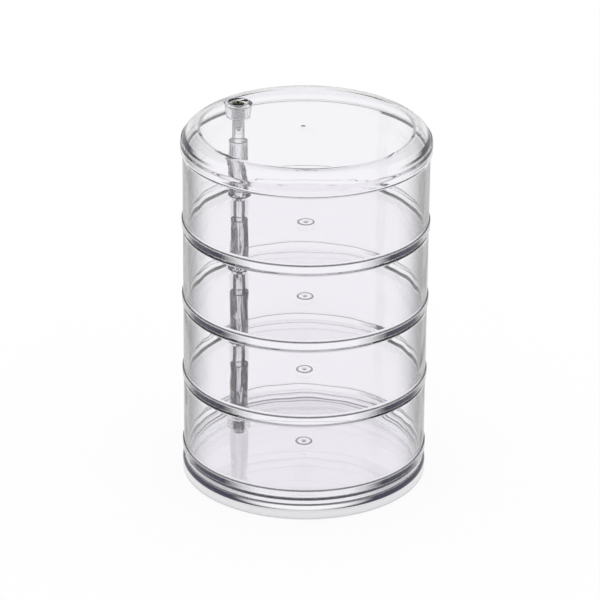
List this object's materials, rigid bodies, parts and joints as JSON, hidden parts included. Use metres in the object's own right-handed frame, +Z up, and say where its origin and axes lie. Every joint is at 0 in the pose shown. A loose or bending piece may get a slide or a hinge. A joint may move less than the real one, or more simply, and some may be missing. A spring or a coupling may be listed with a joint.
{
  "type": "swivel organizer tower",
  "caption": "Round clear plastic organizer tower: a dish base, stacked round trays and a soft-shouldered lid that swing on one upright post near the edge.",
  "frame": {"origin": "centre of the tower at the base's underside, on the surface it stands on", "axes": "+Z up along the stack; +Y from front to back, with the post at the back left, at -X +Y"},
  "size_m": [0.1008, 0.1008, 0.1503],
  "materials": {
    "clear_base": "clear, polished, injection moulded",
    "clear_post": "clear, polished, injection moulded",
    "clear_tray": "clear, polished, injection moulded",
    "clear_lid": "clear, polished, injection moulded",
    "brass": "bright plated",
    "steel": "zinc plated"
  },
  "bodies": {
    "stand": {"base": "clear_base", "pivot_post": "clear_post", "foot_screw": "steel", "retaining_cap": "clear_post", "top_screw": "brass"},
    "tray_1": {"tray_1": "clear_tray"},
    "tray_2": {"tray_2": "clear_tray"},
    "tray_3": {"tray_3": "clear_tray"},
    "tray_4": {"tray_4": "clear_tray"},
    "lid": {"lid": "clear_lid"}
  },
  "joints": [
    {"name": "tray_1_swing", "type": "hinge", "parent": "stand", "child": "tray_1", "pos_m": [-0.027, 0.0265, 0.1079], "axis": [0, 0, 1], "continuous": true},
    {"name": "tray_2_swing", "type": "hinge", "parent": "stand", "child": "tray_2", "pos_m": [-0.027, 0.0265, 0.075], "axis": [0, 0, 1], "continuous": true},
    {"name": "tray_3_swing", "type": "hinge", "parent": "stand", "child": "tray_3", "pos_m": [-0.027, 0.0265, 0.0421], "axis": [0, 0, 1], "continuous": true},
    {"name": "tray_4_swing", "type": "hinge", "parent": "stand", "child": "tray_4", "pos_m": [-0.027, 0.0265, 0.0092], "axis": [0, 0, 1], "continuous": true},
    {"name": "lid_swing", "type": "hinge", "parent": "stand", "child": "lid", "pos_m": [-0.027, 0.0265, 0.1408], "axis": [0, 0, 1], "continuous": true}
  ]
}
